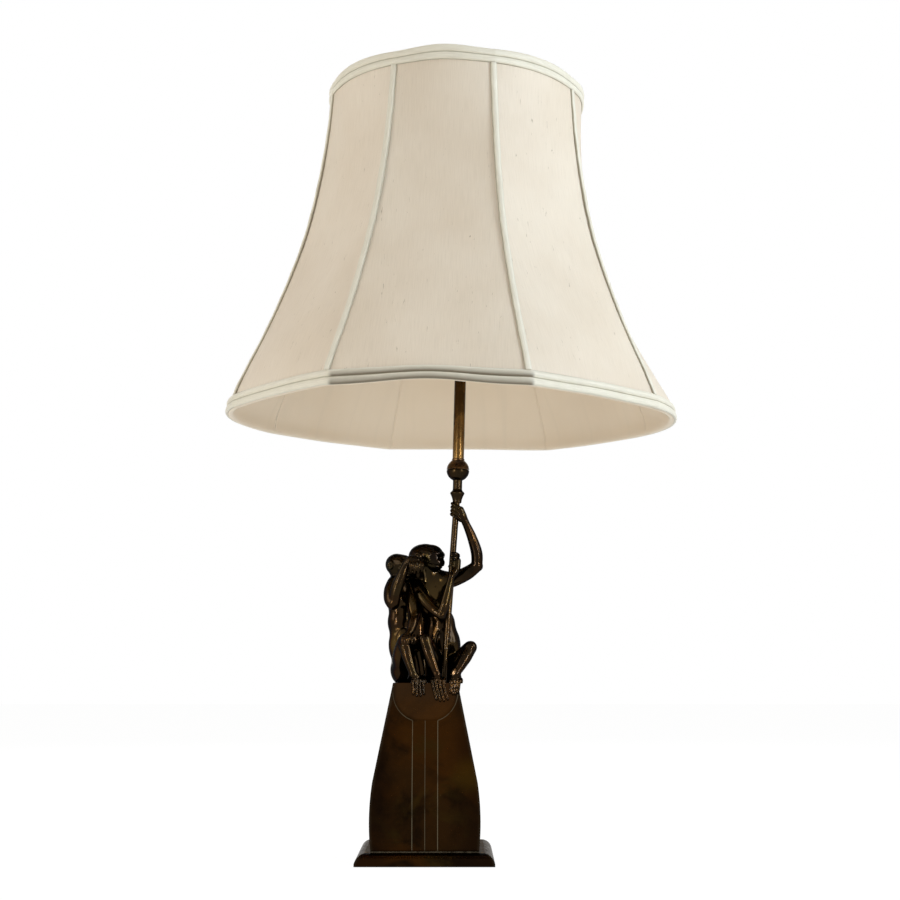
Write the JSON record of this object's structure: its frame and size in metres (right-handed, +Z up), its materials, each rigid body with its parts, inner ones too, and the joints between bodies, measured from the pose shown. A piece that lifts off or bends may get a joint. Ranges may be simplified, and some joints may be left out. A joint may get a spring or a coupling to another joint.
{
  "type": "table lamp",
  "caption": "Table lamp: two seated bronze monkeys on a tapered plinth, one holding a staff that carries the lampholder, harp and an eight-panel bell shade.",
  "frame": {"origin": "centre of the resting face under the foot", "axes": "+Z up the lamp, front towards -Y, +X to the viewer's right"},
  "size_m": [0.4533, 0.4442, 0.7986],
  "materials": {
    "bronze_dark": "dark brown patina, satin",
    "bronze_figure": "dark brown patina with worn highlights",
    "brass_aged": "aged brass",
    "brass_plain": "plain brass",
    "steel": "zinc plated",
    "felt": "felt",
    "bush_plastic": "matt",
    "phenolic": "moulded",
    "card": "pressed card sleeve",
    "lead_plastic": "insulated lead",
    "bulb_glass": "frosted glass",
    "silk": "slubbed silk",
    "silk_trim": "folded silk trim",
    "lining": "smooth lining"
  },
  "bodies": {
    "base": {"foot_casting": "bronze_dark", "felt_pad": "felt", "base_plate": "steel", "base_plate_screws": "steel", "plinth_shell": "bronze_dark", "plinth_screws": "steel", "figure_screws": "steel", "cord_bush": "bush_plastic", "terminal_block": "bush_plastic", "terminal_screws": "brass_plain", "staff_rod": "bronze_dark", "staff_washer": "steel", "staff_nut": "steel", "staff_knop": "bronze_dark", "ball_upper": "bronze_dark", "ball_nipple": "steel", "holder_nipple": "steel", "upper_tube": "brass_aged", "monkey_left": "bronze_figure", "monkey_right": "bronze_figure", "socket_cap": "brass_plain", "socket_shell": "brass_plain", "socket_liner": "card", "socket_body": "phenolic", "screw_shell": "brass_plain", "centre_contact": "brass_plain", "bulb_cap": "brass_plain", "bulb_glass": "bulb_glass", "harp_saddle": "brass_plain", "harp_wire": "brass_plain", "harp_stud": "brass_plain", "internal_lead": "lead_plastic"},
    "shade": {"shade_panels": "silk", "shade_lining": "lining", "bottom_trim": "silk_trim", "top_trim": "silk_trim", "seam_trims": "silk_trim", "shade_rim_wire": "steel", "shade_top_wire": "steel", "shade_spider": "steel", "shade_ribs": "steel"},
    "finial": {"finial": "brass_aged"},
    "switch_key": {"switch_key": "phenolic"},
    "ferrule_left": {"harp_ferrule_left": "brass_plain"},
    "ferrule_right": {"harp_ferrule_right": "brass_plain"}
  },
  "joints": [
    {"name": "shade_swivel", "type": "hinge", "parent": "base", "child": "shade", "pos_m": [0.03088, -0.012, 0.76965], "axis": [0.0201, 0, 0.9998], "continuous": true},
    {"name": "finial_turn", "type": "hinge", "parent": "base", "child": "finial", "pos_m": [0.03119, -0.012, 0.78465], "axis": [0.0201, 0, 0.9998], "continuous": true},
    {"name": "switch_key_turn", "type": "hinge", "parent": "base", "child": "switch_key", "pos_m": [0.03726, -0.012, 0.57141], "axis": [0, -1, 0], "continuous": true},
    {"name": "ferrule_left_lift", "type": "slide", "parent": "base", "child": "ferrule_left", "axis": [0.0269, 0, 0.9996], "range_m": [0, 0.01]},
    {"name": "ferrule_right_lift", "type": "slide", "parent": "base", "child": "ferrule_right", "axis": [0.0269, 0, 0.9996], "range_m": [0, 0.01]}
  ]
}
